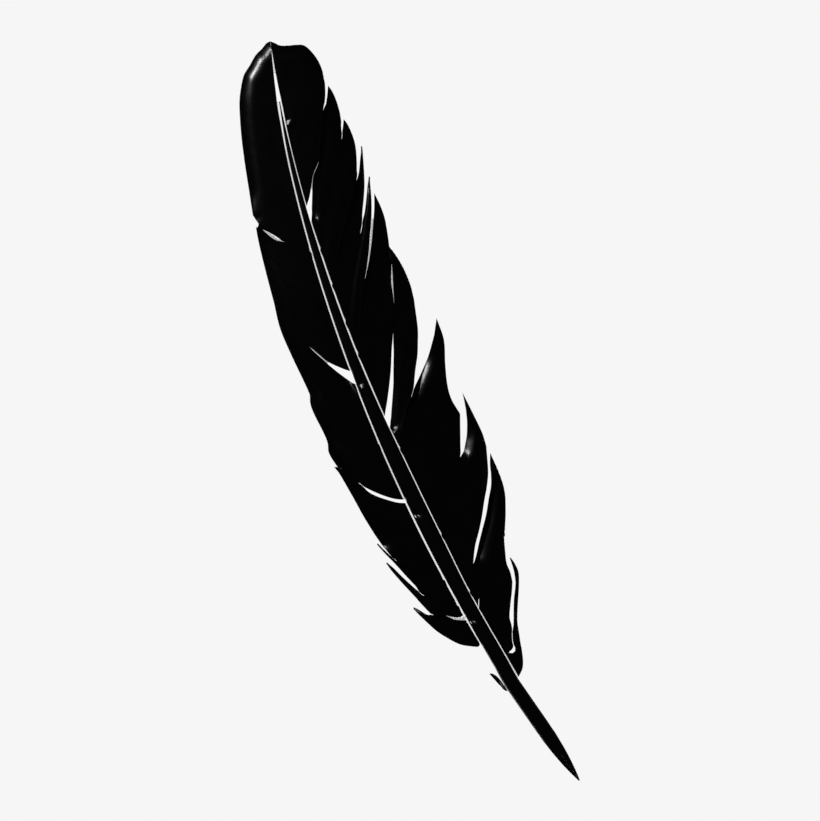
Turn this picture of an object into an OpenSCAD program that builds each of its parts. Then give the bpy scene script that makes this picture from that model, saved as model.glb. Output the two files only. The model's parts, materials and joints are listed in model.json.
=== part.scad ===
// Feather quill pen, standing upright: a hollow barrel cut to a split nib, a
// pith-filled shaft that curves up from it, and separate locks of barbs along
// both sides of the shaft.
// +Z runs up the barrel's axis, the rounded outer face of the feather looks
// along -Y, and the origin is on the axis in the middle of the round grip.

/* [Barrel] */
// Outside radius of the barrel
barrel_r = 2.85; // [2.7:0.05:3.1]
// Inside radius of the barrel
bore_r = 2.15; // [2:0.05:2.2]
// Length of the round barrel between the nib's shoulders and the lowest barb
barrel_l = 17; // [14:1:18]
// Thickness of the natural wall that closes the barrel's top
cap_t = 2.5; // [1.5:0.5:4]

/* [Nib] */
// Length of the cut, from its shoulders to the writing point
nib_l = 24.5; // [22:0.5:26]
// Outside radius of the scraped nib
nib_r = 2.65; // [2.6:0.01:2.68]
// Thickness of the scraped nib
nib_t = 0.32; // [0.25:0.01:0.32]
// Width of the writing point
point_w = 0.5; // [0.3:0.1:0.8]
// Length of the two tines
tine_l = 12; // [9:0.5:13]
// Width of the ink slit between the tines
slit_w = 0.16; // [0.1:0.02:0.2]

/* [Shaft] */
// Turn of the curved shaft, from the first barbs to the tip of the feather
shaft_turn = 23.8; // [10:0.1:30]
// Angle between the barrel and the lower end of the curved shaft
seat_turn = 2.7; // [0:0.1:4]
// Bow of the feather towards its hollow underside, at its tip
bow = 14; // [0:1:25]
// Depth of the shaft, front to back, as a share of its width
shaft_depth = 0.86; // [0.7:0.02:1]
// Thickness of the shaft's horny outer wall
cortex_t = 0.45; // [0.3:0.05:0.5]

/* [Vane] */
// Thickness of a lock of barbs
vane_t = 0.4; // [0.3:0.05:0.6]
// Width of the gap between the shaft and the locks
root_gap = 0.42; // [0.3:0.02:0.5]
// Droop of the vane towards its underside, 25 mm out from the shaft
droop = 3; // [0:0.5:6]

/* [Hidden] */
$fn = 96;

horn = [0.06, 0.06, 0.07];
barb = [0.09, 0.09, 0.10];
marrow = [0.85, 0.83, 0.76];
fit_gap = 0.1;
over = 1;

// Heights on the barrel's axis
barrel_top = barrel_l / 2;
shoulder_z = -barrel_l / 2;
point_z = shoulder_z - nib_l;
tine_top = point_z + tine_l;

// The shaft's middle line and half width, every 20 mm along it: how far the
// middle stands to the right of a true arc, and half the shaft's width
shaft_start = -20;
shaft_step = 20;
shaft_rows = [
    [-0.9, 2.8], [-0.3, 2.8], [0.35, 2.75], [0.95, 3.05], [1.25, 3.05],
    [1.28, 2.87], [1.05, 2.45], [0.8, 2.0], [0.57, 1.68], [0.3, 1.4],
    [0, 1.08], [-0.2, 0.75], [-0.05, 0.12], [0.2, 0]
];
feather_l = 240;
shaft_foot = -20.8;
seat_gap = 0.2;
cortex_end = 216;
pith_foot = -18;
pith_end = 170;
arc_r = feather_l / (shaft_turn * PI / 180);

// ---- curves -----------------------------------------------------------

function mix(a, b, t) = a + (b - a) * t;

// Point on a smooth curve through the listed points, t from 0 to 1
function curve(pts, t) =
    let (
        last = len(pts) - 1,
        u = min(max(t, 0), 1) * last,
        i = min(floor(u), last - 1),
        f = u - i,
        b = pts[i],
        c = pts[i + 1],
        a = i > 0 ? pts[i - 1] : 2 * b - c,
        d = i < last - 1 ? pts[i + 2] : 2 * c - b
    )
    b + 0.5 * f * ((c - a) + f * (2 * a - 5 * b + 4 * c - d + f * (3 * (b - c) + d - a)));

function shaft_at(s) = curve(shaft_rows, (s - shaft_start) / (shaft_step * (len(shaft_rows) - 1)));

// Gap beside the shaft, which closes to a hairline at the tip of the feather
function gap_at(s) = root_gap * min(1, max(0, (feather_l - s) / 12));

// Root line of a vane: side is -1 for the narrow outer vane, 1 for the wide one
function root_d(side, s) = let (row = shaft_at(s)) row[0] + side * (row[1] + gap_at(s));

// From [across, along] on the flattened feather, and depth, to the upright frame
function bent(p) =
    let (a = max(p[1], 0) / arc_r * 180 / PI)
    p[1] <= 0 ? p : [arc_r - (arc_r - p[0]) * cos(a), (arc_r - p[0]) * sin(a)];
function seated(p) =
    let (q = bent(p) - [shaft_rows[0][0], shaft_foot - seat_gap])
    [q[0] * cos(seat_turn) + q[1] * sin(seat_turn), q[1] * cos(seat_turn) - q[0] * sin(seat_turn)];
function bow_at(s) = bow * pow(max(s, 0) / feather_l, 2);
function placed(p, y) = let (q = seated(p)) [q[0], bow_at(p[1]) + y, barrel_top + q[1]];

// ---- solids from rings and grids ---------------------------------------

// Faces of a closed skin over rings of n points each
function ring_faces(rings, n) = concat(
    [for (i = [0:rings - 2], j = [0:n - 1])
        [i * n + j, i * n + (j + 1) % n, (i + 1) * n + (j + 1) % n, (i + 1) * n + j]],
    [[for (j = [n - 1:-1:0]) j]],
    [[for (j = [0:n - 1]) (rings - 1) * n + j]]
);

shaft_sides = 16;
function shaft_ring(s, inset) =
    let (row = shaft_at(s), w = row[1] - min(inset, 0.45 * row[1]), h = w * shaft_depth)
    [for (j = [0:shaft_sides - 1])
        let (a = 360 * j / shaft_sides)
        placed([row[0] + w * cos(a), s], -h * sin(a))];

module shaft_solid(from, to, inset, rings) {
    pts = [for (i = [0:rings - 1]) each shaft_ring(mix(from, to, i / (rings - 1)), inset)];
    polyhedron(pts, ring_faces(rings, shaft_sides));
}

// A lock of barbs is a patch between its root on the shaft, its lower and upper
// barbs and its outer edge, all in [across, along] on the flattened feather
function patch(low, up, root, rim, t, v) =
    let (
        a = low[0],
        b = low[len(low) - 1],
        c = up[len(up) - 1],
        d = up[0]
    )
    mix(curve(low, t), curve(up, t), v) + mix(root, curve(rim, v), t)
    - mix(mix(a, b, t), mix(d, c, t), v);

rows_t = 10;
rows_v = 8;
border_gap = 0.1;

module lock(side, s_low, s_up, low_pts, rim_pts, up_pts) {
    root = function (v)
        let (s = mix(s_low + border_gap, s_up - border_gap, v)) [root_d(side, s), s];
    low = concat([root(0)], [for (p = low_pts) p + [0, border_gap]]);
    up = concat([root(1)], [for (p = up_pts) p - [0, border_gap]]);
    rim = concat([low[len(low) - 1]], rim_pts, [up[len(up) - 1]]);
    flat = [for (i = [0:rows_t - 1], j = [0:rows_v - 1]) let (v = j / (rows_v - 1))
        patch(low, up, root(v), rim, i / (rows_t - 1), v)];
    skin = function (z) [for (p = flat)
        let (out = abs(p[0] - root_d(side, p[1])))
        placed(p, z + droop * pow(out / 25, 2))];
    count = rows_t * rows_v;
    turn = function (f) side > 0 ? f : [for (i = [len(f) - 1:-1:0]) f[i]];
    cell = function (i, j, base) [for (k = [[0, 0], [1, 0], [1, 1], [0, 1]])
        base + (i + k[0]) * rows_v + j + k[1]];
    wall = function (a, b) [a, b, b + count, a + count];
    faces = concat(
        [for (i = [0:rows_t - 2], j = [0:rows_v - 2]) each let (q = cell(i, j, 0))
            [[q[0], q[1], q[2]], [q[0], q[2], q[3]]]],
        [for (i = [0:rows_t - 2], j = [0:rows_v - 2]) each let (q = cell(i, j, count))
            [[q[2], q[1], q[0]], [q[3], q[2], q[0]]]],
        [for (i = [0:rows_t - 2]) wall((i + 1) * rows_v, i * rows_v)],
        [for (i = [0:rows_t - 2]) wall(i * rows_v + rows_v - 1, (i + 1) * rows_v + rows_v - 1)],
        [for (j = [0:rows_v - 2]) wall(j, j + 1)],
        [for (j = [0:rows_v - 2]) wall((rows_t - 1) * rows_v + j + 1, (rows_t - 1) * rows_v + j)]
    );
    polyhedron(concat(skin(-vane_t / 2), skin(vane_t / 2)), [for (f = faces) turn(f)]);
}

// ---- barrel and nib -----------------------------------------------------

// Half width of the nib, from 0 at the point to 1 at its shoulders
function nib_half(t) = max(point_w / 2, nib_r * (2 * t - t * t));

nib_steps = 12;
module nib_outline() {
    side = [for (i = [0:nib_steps])
        let (t = i / nib_steps) [nib_half(t), point_z + t * nib_l]];
    top = [[nib_r + over, shoulder_z + 2 * over], [-nib_r - over, shoulder_z + 2 * over]];
    polygon(concat(side, top, [for (i = [nib_steps:-1:0]) [-side[i][0], side[i][1]]]));
}

// The scoop that opens the nib's back, drawn in [depth, height]
module scoop_outline() {
    deep = nib_r + 2 * over;
    polygon([
        [deep, shoulder_z + 0.01], [nib_r * 0.8, shoulder_z - 0.6], [nib_r * 0.35, shoulder_z - 2],
        [-nib_r * 0.05, shoulder_z - 4.5], [-nib_r * 0.3, shoulder_z - 8],
        [-nib_r * 0.48, shoulder_z - 13], [-nib_r * 0.58, point_z - over], [deep, point_z - over]
    ]);
}

// The scraped, pointed trough of the nib between two heights
module nib_trough(from, to) {
    intersection() {
        translate([0, 0, from]) difference() {
            cylinder(h = to - from, r = nib_r);
            translate([0, 0, -over]) cylinder(h = to - from + 2 * over, r = nib_r - nib_t);
        }
        rotate([90, 0, 0]) linear_extrude(2 * (nib_r + over), center = true) nib_outline();
        difference() {
            translate([-nib_r - over, -nib_r - over, point_z - over])
                cube([2 * (nib_r + over), 2 * (nib_r + over), nib_l + 3 * over]);
            rotate([90, 0, 90]) linear_extrude(2 * (nib_r + 2 * over), center = true) scoop_outline();
        }
    }
}

module barrel() color(horn) {
    difference() {
        translate([0, 0, shoulder_z]) cylinder(h = barrel_l, r = barrel_r);
        translate([0, 0, shoulder_z - over]) cylinder(h = barrel_l - cap_t + over, r = bore_r);
    }
    nib_trough(tine_top + fit_gap, shoulder_z + over / 2);
}

module tine(side) color(horn) {
    intersection() {
        nib_trough(point_z - over, tine_top);
        translate([side * (slit_w / 2 + nib_r), 0, tine_top - nib_l / 2])
            cube([2 * nib_r, 4 * nib_r, nib_l + 2 * over], center = true);
    }
}

// ---- shaft ----------------------------------------------------------------

module shaft_cortex() color(horn) difference() {
    shaft_solid(shaft_foot, cortex_end, 0, 41);
    shaft_solid(shaft_foot - over, cortex_end + over, cortex_t, 41);
}

module shaft_pith() color(marrow)
    shaft_solid(pith_foot, pith_end, cortex_t + fit_gap, 37);

// ---- vane -------------------------------------------------------------------

// Each lock: where its root starts and ends along the shaft, then its lower
// barb, its outer edge and its upper barb as [across, along] points
outer_locks = [
    // tip lock, with the long rounded leading edge
    [160.5, 238.5,
        [[-10, 166.8], [-13, 169.9], [-16.6, 173.3], [-17.6, 175.6], [-18.9, 179]],
        [[-18, 189], [-17.2, 200], [-16.3, 210], [-14.8, 220], [-11, 230.3], [-5.4, 236.6]],
        [[0, 240.3]]],
    [114, 160,
        [[-4, 116], [-8, 119.9], [-10, 122.5], [-12.8, 127.3], [-16.6, 136], [-20.2, 147]],
        [[-19.9, 155], [-19.6, 163], [-19.3, 170]],
        [[-6, 163.2], [-10, 166.5], [-13.6, 168.9], [-16.6, 172.8], [-18.9, 174.8]]],
    [84, 108.5,
        [[-8, 91], [-13.5, 98.5], [-18.9, 111]],
        [[-19.2, 116], [-20.3, 127], [-21, 137]],
        [[-3, 110.3], [-5, 113.3], [-8, 118.3], [-9.6, 121], [-12.8, 127.1], [-16.6, 135.8],
         [-20.2, 146.8]]],
    [61.5, 84,
        [[-5, 63], [-8, 65.6], [-11, 68.8], [-13, 71.3], [-15, 74.7], [-17.5, 79], [-19.7, 82.8]],
        [[-20.5, 88.4], [-19.5, 92], [-19.4, 96], [-20.1, 106]],
        [[-8, 91], [-13.5, 98.5], [-18.9, 111]]],
    [28, 60.3,
        [[-5, 30.5], [-10, 35.5], [-15, 42.8], [-16.4, 47], [-17.2, 50.6]],
        [[-17.8, 55], [-18.5, 62], [-19, 70], [-19.9, 79.5]],
        [[-5, 61.8], [-8, 64.4], [-11, 67.3], [-13, 70], [-15, 74.5], [-17.5, 78.7],
         [-19.4, 82], [-20.8, 83.3]]],
    // first wisp
    [17, 27.7,
        [[-7, 20.5], [-12.2, 26.5], [-13.6, 31], [-15, 36], [-16.4, 42], [-17.4, 46.5], [-18.7, 51]],
        [],
        [[-5, 30.2], [-10, 35.2], [-15, 42.4], [-16.9, 46.8], [-18.3, 51.4]]],
    // second wisp
    [12.9, 16.7,
        [[-5, 13], [-7, 14.5], [-9.2, 16.8], [-11.5, 18], [-13.2, 19.3], [-14.3, 23], [-15.4, 28],
         [-17, 34.3], [-18.2, 39.5], [-18.9, 43.3]],
        [],
        [[-7, 20.2], [-12.1, 26.2], [-13.9, 29.6], [-16.2, 35.8], [-17.7, 40.6], [-18.5, 43.8]]],
    // lower clump
    [1.2, 11,
        [[-4.2, -0.1], [-7, 1.8], [-10, 4.5], [-12.8, 9], [-14.8, 13], [-16.3, 17.5], [-17.4, 21.3],
         [-18.1, 24.1]],
        [],
        [[-5, 12.1], [-7, 13.6], [-9.2, 16.4], [-11.5, 17.7], [-13.3, 18.9], [-14.9, 19.8],
         [-16.3, 22], [-17.8, 24.6]]],
    // leaf-like barb at the foot
    [-20, -17.5,
        [[-4.8, -18.8], [-5.4, -16], [-5.9, -13], [-6.3, -10.9]],
        [],
        [[-4.3, -14.5], [-4.9, -12], [-5.9, -10.7]]]
];

inner_locks = [
    // tip lobe
    [177.5, 238.5,
        [[3.2, 181], [5.2, 185.4], [7, 189.1], [9.8, 193.2], [12.5, 202], [15.2, 211.4],
         [16.6, 214.8], [17.4, 218], [17.9, 221.5]],
        [[17.2, 228.5], [14, 235.4], [9, 238], [3.5, 238.4]],
        [[0.5, 240.4]]],
    [160.3, 171.5,
        [[6, 169], [12, 181], [17, 191.7], [20, 199.3], [20.6, 203], [21.2, 206]],
        [[21.3, 210], [20.8, 215], [19.9, 218.6]],
        [[2.3, 174.5], [3.2, 178], [5.3, 184.6], [7, 188.6], [9.9, 192.9], [12.6, 201.7],
         [15.3, 211], [16.9, 213.9], [17.9, 216.8], [18.9, 220.7]]],
    [146.3, 160,
        [[8, 157.2], [15, 169.7], [21.8, 182.4], [23, 186.4], [23.8, 190.2], [24.4, 194]],
        [[24.5, 197.3], [24.1, 201], [23.3, 204.4]],
        [[6, 168.7], [12, 180.7], [17, 191.4], [20, 199], [21.1, 202.6], [22.3, 206.8]]],
    // first spike
    [131.3, 146,
        [[7, 140.2], [12.5, 151.2], [18.5, 162.6], [20, 166.4], [21.2, 170], [23, 175], [24.5, 180],
         [25.5, 185], [26.3, 190], [26.9, 194.6]],
        [],
        [[8, 156.9], [15, 169.4], [21.9, 182], [22.9, 183.7], [24.1, 186.8], [25.1, 190],
         [26, 192.7], [26.6, 195.1]]],
    // second spike
    [118.3, 131,
        [[6.5, 126.2], [10.5, 135.7], [14.8, 144.6], [17.5, 150.3], [19.7, 155.3], [21.5, 160.3],
         [23.8, 165.3], [25, 170.2], [25.9, 175.3], [26.6, 180], [27.1, 182.2]],
        [],
        [[7, 139.9], [12.5, 150.9], [18.5, 162.3], [21.2, 166.7], [22.8, 170], [24.7, 175],
         [25.9, 179.4], [26.8, 182.7]]],
    [94, 118,
        [[7, 98.5], [10, 103.6], [13, 109], [15.7, 115.5], [18.7, 122.6], [22.1, 131.5], [23.8, 140],
         [26.2, 148.2], [26.9, 154.2]],
        [[28.3, 162], [28.5, 166.5], [28.1, 171]],
        [[6.5, 125.9], [10.5, 135.4], [14.8, 144.3], [17.9, 149.9], [20.2, 154.9], [22.2, 159.9],
         [24.4, 164.9], [25.3, 167.2], [26.3, 170.7], [27.2, 175.9]]],
    // broad lobe
    [79.2, 88.5,
        [[8, 85.7], [12, 91.5], [15.9, 95.9], [18.6, 99.6], [21.3, 105], [24, 110], [26, 115],
         [27.8, 120.3], [30, 131]],
        [[30.4, 137], [29.9, 144], [28.6, 150]],
        [[6.5, 92.6], [9.5, 98.6], [12, 104], [13.7, 108.4], [16, 114.3], [18.8, 122.2],
         [22.3, 131.2], [24.5, 140], [26.6, 148], [27.2, 153.9]]],
    // horn
    [43.3, 79,
        [[10, 50.7], [17, 59.2], [23.8, 67.2], [25.3, 70.2], [26.9, 73.9], [28.7, 78.2], [30.4, 82.2]],
        [[29.6, 89], [30.3, 95], [32.4, 102.6], [35.3, 112]],
        [[8, 85.4], [12, 91.2], [15.9, 95.5], [18.5, 98.8], [21.3, 101.5], [24.4, 104.6],
         [27.5, 108], [30.6, 112.4], [33.1, 116.2], [35.6, 121.2]]],
    // upper flame
    [19.3, 43,
        [[6, 23.5], [9.8, 28.2], [13.3, 33.6], [16.6, 37.8], [20, 42.2], [23.7, 47.7], [26.8, 51.8],
         [30, 56.5], [32.3, 61.5], [34.3, 66.3]],
        [[35, 72], [34.8, 81]],
        [[10, 50.4], [17, 58.9], [24, 66.8], [25.8, 68.3], [27.6, 70.8], [29.5, 73.7], [31.4, 78],
         [32.9, 82.4], [33.8, 86.2], [34.4, 89.8]]],
    // lower flame
    [12.8, 19,
        [[5.5, 16.1], [10, 20.3], [15, 24.4], [20, 28.3], [24.8, 31.8], [28, 36.6], [30.5, 41.2]],
        [[32.5, 45.8], [33.7, 50.7], [34.3, 57]],
        [[6, 23.2], [9.8, 27.7], [12.8, 30.9], [15.7, 34.3], [18.8, 38], [22.5, 42.4],
         [26.6, 47.4], [29.6, 51.2], [31.4, 54.8], [33, 59], [34.5, 63.3]]],
    [-7.6, 12.5,
        [[4.2, -7.7], [6.3, -7.2], [7.5, -4.8], [8.8, -2.4], [10.3, 0.2], [11.3, 3.3], [13.4, 7.1],
         [16.6, 11.5], [18.7, 14.6]],
        [[19.9, 18.3], [20.6, 22], [22.5, 26.4]],
        [[5.5, 15.8], [10, 20], [15, 24.1], [20, 28], [24.6, 31.2]]],
    // long loose wisp at the foot
    [-17, -8.5,
        [[4.9, -15.7], [6.6, -13.8], [8.4, -10.2], [9.7, -6.9], [11.3, -3.2], [13.1, 0],
         [15.6, 3.8], [18.1, 7.5], [20.9, 12], [22.7, 16.2], [23.2, 19.5], [23.1, 22.7]],
        [],
        [[4.2, -8.4], [6.8, -8.3], [8.3, -5.6], [10, -2.9], [11.7, 0.1], [14.2, 4.9],
         [16.4, 8.7], [19.5, 13], [21.2, 16.8], [22.1, 20], [22.7, 23]]]
];

module vane_lock(side, row) color(barb) lock(side, row[0], row[1], row[2], row[3], row[4]);

barrel();
tine(-1);  // left_tine
tine(1);  // right_tine
shaft_cortex();
shaft_pith();
for (i = [1:len(outer_locks)])
    vane_lock(-1, outer_locks[i - 1]);
for (i = [1:len(inner_locks)])
    vane_lock(1, inner_locks[i - 1]);
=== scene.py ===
import json
import math

import bmesh
import bpy
import numpy as np
from mathutils import Matrix, Vector


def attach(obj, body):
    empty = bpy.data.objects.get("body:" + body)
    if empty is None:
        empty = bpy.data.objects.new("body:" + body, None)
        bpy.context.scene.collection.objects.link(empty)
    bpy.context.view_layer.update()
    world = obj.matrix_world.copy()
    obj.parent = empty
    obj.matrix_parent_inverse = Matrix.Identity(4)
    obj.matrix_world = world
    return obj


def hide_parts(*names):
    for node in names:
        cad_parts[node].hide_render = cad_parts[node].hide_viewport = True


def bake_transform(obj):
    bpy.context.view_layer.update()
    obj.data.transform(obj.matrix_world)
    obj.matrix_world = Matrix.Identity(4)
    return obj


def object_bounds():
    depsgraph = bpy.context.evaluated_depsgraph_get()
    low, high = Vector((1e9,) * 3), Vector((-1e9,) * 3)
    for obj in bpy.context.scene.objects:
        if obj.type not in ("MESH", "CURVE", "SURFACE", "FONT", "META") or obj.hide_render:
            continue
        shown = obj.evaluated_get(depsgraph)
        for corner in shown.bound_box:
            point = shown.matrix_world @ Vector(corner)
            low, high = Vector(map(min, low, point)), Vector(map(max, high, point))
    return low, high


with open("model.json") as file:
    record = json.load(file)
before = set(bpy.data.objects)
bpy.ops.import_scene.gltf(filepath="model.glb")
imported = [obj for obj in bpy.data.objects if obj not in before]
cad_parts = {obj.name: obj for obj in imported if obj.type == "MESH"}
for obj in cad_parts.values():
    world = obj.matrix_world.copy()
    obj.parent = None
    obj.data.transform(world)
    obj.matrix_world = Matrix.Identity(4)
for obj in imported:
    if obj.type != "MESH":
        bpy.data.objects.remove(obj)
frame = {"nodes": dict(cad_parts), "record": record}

cad_lo, cad_hi = [list(v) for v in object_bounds()]
MM = 0.001

# ---- the feather's measures, in mm -----------------------------------------
# They repeat the part's source, except that the nib, the slit and some borders
# of the locks follow the photograph more closely here

barrel_mount = frame["record"]["mounts"][0]["dims"]
BARREL_R = barrel_mount["r_mm"]
BARREL_TOP = barrel_mount["length_mm"] / 2
SHOULDER_Z = -BARREL_TOP
BORE_R = 2.15
BORE_TOP = 6.0
NIB_L, NIB_R, NIB_T, POINT_W, NIB_SWELL = 24.5, 2.8, 0.32, 0.5, 2.2
POINT_Z = SHOULDER_Z - NIB_L
TINE_TOP = POINT_Z + 12.0
SLIT_W = 0.004

SHAFT_TURN, SEAT_TURN, BOW, SHAFT_DEPTH = 23.8, 2.7, 14.0, 0.86
ROOT_GAP, DROOP, BORDER_GAP = 0.42, 3.0, 0.1
FEATHER_L, SHAFT_FOOT, SEAT_GAP, SHAFT_END = 240.0, -20.8, 0.2, 218.0
SHAFT_START, SHAFT_STEP = -20.0, 20.0
# how much of the grain's picture goes round the horn, in mm a radian
GRAIN_R = 2.8
ARC_R = FEATHER_L / math.radians(SHAFT_TURN)
# The shaft's middle line and half width, one row every SHAFT_STEP along it
SHAFT_ROWS = [
    [-0.9, 2.8], [-0.3, 2.8], [0.35, 2.75], [0.95, 3.05], [1.25, 3.05],
    [1.28, 2.87], [1.05, 2.45], [0.8, 2.0], [0.57, 1.68], [0.3, 1.4],
    [0, 1.08], [-0.2, 0.75], [-0.05, 0.12], [0.2, 0]
]

# Each lock of barbs: where its root starts and ends along the shaft, its lower
# barb, its outer edge and its upper barb as [across, along] points, how far its
# outer edge is lifted back, and from where to where along the feather its upper
# barb laps the lock above, with how near the shaft it has to be if that matters
OUTER_LOCKS = [
    [160.5, 238.5,
     [[-10, 166.7], [-13, 169.9], [-16.6, 173.4], [-17.5, 175.2], [-18.9, 179]],
     [[-18, 189], [-17.2, 200], [-16.3, 210], [-14.9, 220], [-13.3, 225.6], [-11.5, 229.9],
      [-8.8, 233], [-6.1, 236.4], [-3.6, 238.3], [-1.3, 240.3]],
     [[0.05, 240.9]], 0.0, []],
    [113.6, 160,
     [[-4, 115.4], [-8, 119.3], [-10, 122.6], [-11.5, 125.2], [-12.8, 127.6], [-16.6, 136],
      [-20.2, 147]],
     [[-19.9, 155], [-19.6, 163], [-19.3, 170]],
     [[-6, 163.2], [-10, 166.5], [-13.6, 168.9], [-16.6, 172.8], [-18.9, 174.8]],
     0.7, [[100, 166.5], [173.2, 176]]],
    [84, 108.5,
     [[-8, 91], [-13.5, 98.5], [-18.9, 111]],
     [[-19.2, 116], [-20.3, 127], [-21, 137]],
     [[-3, 110], [-5, 112.9], [-8, 118], [-9.8, 121.2], [-11.5, 124.2], [-12.9, 127], [-16.6, 135.8],
      [-20.2, 146.8]], -0.5, [[127.3, 200]]],
    [61.5, 84,
     [[-5, 63], [-8, 65.6], [-11, 68.8], [-13, 71.3], [-15, 74.7], [-17.5, 79], [-19.7, 82.8]],
     [[-20.5, 88.4], [-19.5, 92], [-19.4, 96], [-20.1, 106]],
     [[-8, 91], [-13.5, 98.5], [-18.9, 111]], 0.6, [[0, 200]]],
    [28, 60.3,
     [[-5, 30.5], [-10, 35.5], [-15, 42.8], [-16.4, 47], [-17.2, 50.6]],
     [[-17.8, 55], [-18.5, 62], [-19, 70], [-19.9, 79.5]],
     [[-5, 61.8], [-8, 64.4], [-11, 67.3], [-13, 70], [-15, 74.5], [-17.5, 78.7],
      [-19.4, 82], [-20.8, 83.3]], -0.4, [[74.6, 82.4]]],
    [17, 27.7,
     [[-7, 20.5], [-12.2, 26.5], [-13.2, 31], [-14.5, 36], [-16, 42], [-17.4, 46.5], [-18.7, 51]],
     [],
     [[-5, 30.2], [-10, 35.2], [-15, 42.4], [-16.9, 46.8], [-18.3, 51.4]], 1.2, [[0, 42.3]]],
    [12.9, 16.7,
     [[-5, 13], [-7, 14.5], [-9.2, 16.8], [-11.5, 18], [-13.2, 19.3], [-14.3, 23], [-15.4, 28],
      [-17, 34.3], [-18.2, 39.5], [-18.9, 43.3]],
     [],
     [[-7, 20.2], [-12.1, 26.2], [-13.6, 29.7], [-15.8, 36], [-17.3, 40.8], [-18.5, 43.8]],
     -1.0, [[0, 26.2]]],
    [1.2, 11,
     [[-4.2, -0.1], [-7, 1.8], [-10, 4.5], [-12.8, 9], [-14.8, 13], [-16.3, 17.5], [-17.4, 21.3],
      [-18.1, 24.1]],
     [],
     [[-5, 12.1], [-7, 13.6], [-9.2, 16.4], [-11.5, 17.7], [-13.3, 19.1], [-14.9, 20.2],
      [-16.2, 22.5], [-17.7, 24.8]], 0.8, [[16.4, 18.6]]],
    [-20, -17.5,
     [[-4.8, -18.8], [-5.4, -16], [-5.9, -13], [-6.3, -10.9]],
     [],
     [[-4.3, -14.5], [-4.9, -12], [-5.9, -10.7]], -0.3, []]
]

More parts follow.
